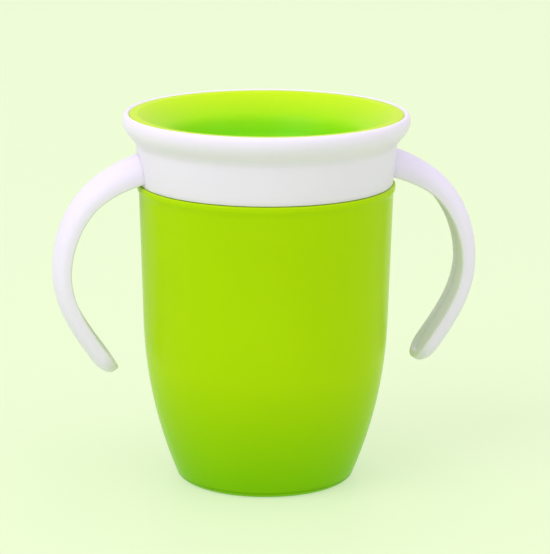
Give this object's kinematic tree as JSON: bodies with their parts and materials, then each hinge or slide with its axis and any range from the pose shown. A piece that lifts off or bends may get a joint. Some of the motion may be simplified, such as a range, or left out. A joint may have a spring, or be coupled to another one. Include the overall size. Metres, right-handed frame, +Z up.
{
  "type": "toddler training cup",
  "caption": "Spill-proof training cup with a tapered body, a screw collar with a flared drinking lip, a soft dish valve inside it and two open handles.",
  "frame": {"origin": "centre of the base, on the plane that the cup stands on", "axes": "+Z up through the mouth, X through both handles, Y across the cup"},
  "size_m": [0.1286, 0.086, 0.1123],
  "materials": {
    "green_polypropylene": "satin gloss",
    "white_polypropylene": "satin gloss",
    "green_silicone": "smooth",
    "clear_silicone": "smooth"
  },
  "bodies": {
    "cup": {"cup_body": "green_polypropylene"},
    "gasket": {"lid_gasket": "clear_silicone"},
    "lid": {"lid_collar": "white_polypropylene", "valve_carrier": "white_polypropylene", "left_handle": "white_polypropylene", "right_handle": "white_polypropylene"},
    "valve": {"drinking_valve": "green_silicone"}
  },
  "joints": [
    {"name": "lid_lift", "type": "slide", "parent": "cup", "child": "gasket", "axis": [0, 0, 1], "range_m": [0, 0.0321]},
    {"name": "lid_turn", "type": "hinge", "parent": "gasket", "child": "lid", "pos_m": [0, 0, 0.0965], "axis": [0, 0, 1], "range_deg": [0, 1440]},
    {"name": "valve_pull", "type": "slide", "parent": "lid", "child": "valve", "axis": [0, 0, 1], "range_m": [0, 0.024]}
  ],
  "couplings": [
    {"joint": "lid_lift", "follows": "lid_turn", "m_per_rad": 0.0012732}
  ]
}
